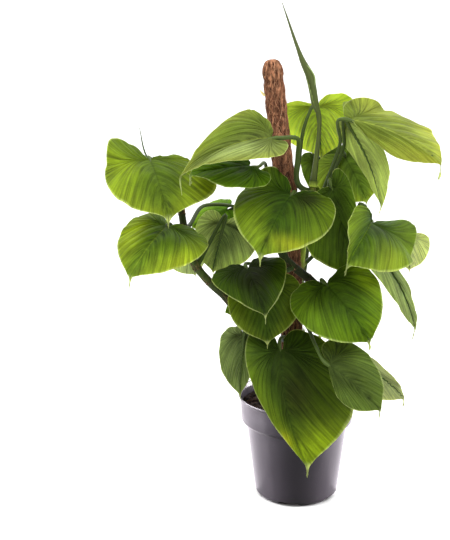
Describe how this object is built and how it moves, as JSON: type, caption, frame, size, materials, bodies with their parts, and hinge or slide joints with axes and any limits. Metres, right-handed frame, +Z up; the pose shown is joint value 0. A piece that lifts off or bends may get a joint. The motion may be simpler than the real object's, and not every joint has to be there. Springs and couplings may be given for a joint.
{
  "type": "potted climbing houseplant",
  "caption": "Climbing philodendron with large heart-shaped leaves on a coir pole, standing in soil in a plain dark nursery pot.",
  "frame": {"origin": "centre of the pot's flat underside", "axes": "+Z up, -Y towards the plant's front, the side that the picture shows, and +X to the picture's right"},
  "size_m": [0.5182, 0.2903, 0.8012],
  "materials": {
    "pot_plastic": "satin, very dark grey with a hint of purple",
    "soil": "matt crumbly dark brown",
    "stake_wood": "plain sawn wood",
    "coir": "rough reddish-brown fibre",
    "tie_cord": "matt near-black",
    "stem_green": "satin dark green",
    "leaf_green": "velvety satin green, lets light through",
    "pale_shoot": "satin cream"
  },
  "bodies": {
    "root": {"bud": "leaf_green", "leaf_back_right": "leaf_green", "leaf_backlit": "leaf_green", "leaf_centre": "leaf_green", "leaf_far_left_high": "leaf_green", "leaf_far_left_low": "leaf_green", "leaf_front_low": "leaf_green", "leaf_left_back": "leaf_green", "leaf_left_small": "leaf_green", "leaf_left_underside": "leaf_green", "leaf_low_left": "leaf_green", "leaf_low_left_back": "leaf_green", "leaf_low_right": "leaf_green", "leaf_low_right_back": "leaf_green", "leaf_mid_left": "leaf_green", "leaf_mid_left_low": "leaf_green", "leaf_mid_right": "leaf_green", "leaf_needle": "leaf_green", "leaf_right_back": "leaf_green", "leaf_right_dark": "leaf_green", "leaf_right_folded": "leaf_green", "leaf_right_hanging": "leaf_green", "leaf_right_low": "leaf_green", "leaf_spear": "leaf_green", "leaf_top_back": "leaf_green", "leaf_top_left": "leaf_green", "leaf_top_left_under": "leaf_green", "leaf_top_right": "leaf_green", "pale_shoot": "pale_shoot", "pole_coir": "coir", "pole_stake": "stake_wood", "pole_tie": "tie_cord", "pot": "pot_plastic", "soil": "soil", "stem_front": "stem_green", "stem_left": "stem_green", "stem_right": "stem_green", "stem_top": "stem_green"}
  },
  "joints": []
}
